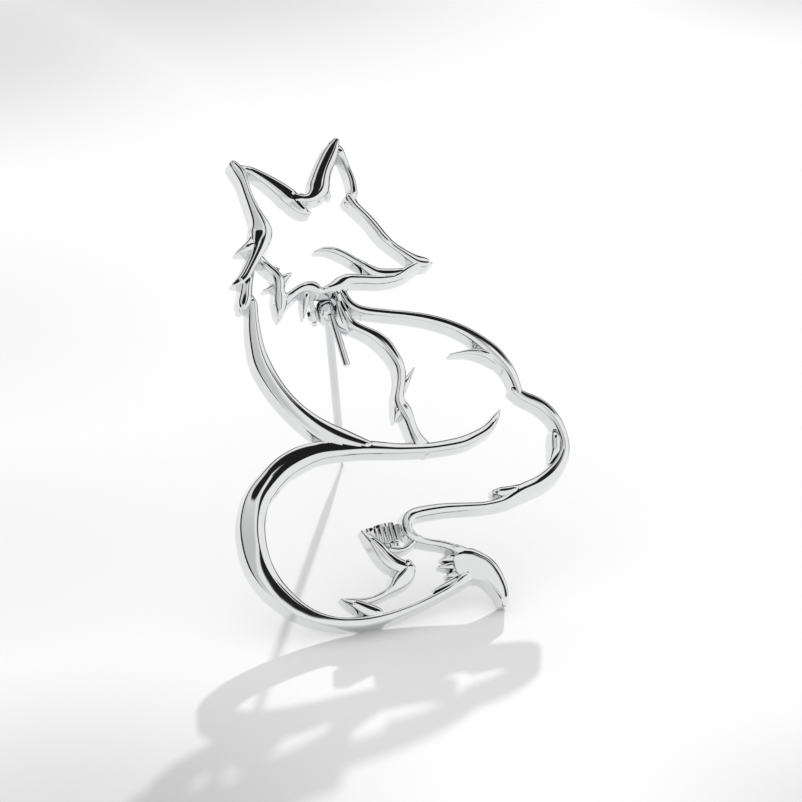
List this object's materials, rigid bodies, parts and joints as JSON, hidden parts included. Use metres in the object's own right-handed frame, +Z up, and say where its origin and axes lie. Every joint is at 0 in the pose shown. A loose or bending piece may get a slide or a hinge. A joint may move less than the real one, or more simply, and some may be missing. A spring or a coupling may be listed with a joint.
{
  "type": "figural animal brooch",
  "caption": "Openwork line-art fox brooch in polished cast metal, with a hinged pin and a turning safety catch on its back.",
  "frame": {"origin": "middle of the footprint's box, on the surface that the brooch stands on", "axes": "+Z up, -Y towards the viewer whom the fox's front faces, +X to that viewer's right, along the line through the tail's two resting points"},
  "size_m": [0.0406, 0.0411, 0.0424],
  "materials": {
    "rhodium_silver": "mirror polish, rhodium plated",
    "pin_steel": "polished steel wire"
  },
  "bodies": {
    "fox": {"fox_frame": "rhodium_silver", "hinge_rivet": "pin_steel"},
    "pin": {"pin_stem": "pin_steel"},
    "sleeve": {"catch_sleeve": "rhodium_silver"}
  },
  "joints": [
    {"name": "pin_swing", "type": "hinge", "parent": "fox", "child": "pin", "pos_m": [-0.00346, 0.00835, 0.02584], "axis": [-0.9857, 0.102, -0.1344], "range_deg": [0, 63.5]},
    {"name": "catch_turn", "type": "hinge", "parent": "fox", "child": "sleeve", "pos_m": [-0.00275, -0.01054, 0.00628], "axis": [0.0262, -0.6944, -0.7191], "range_deg": [0, 150]}
  ]
}
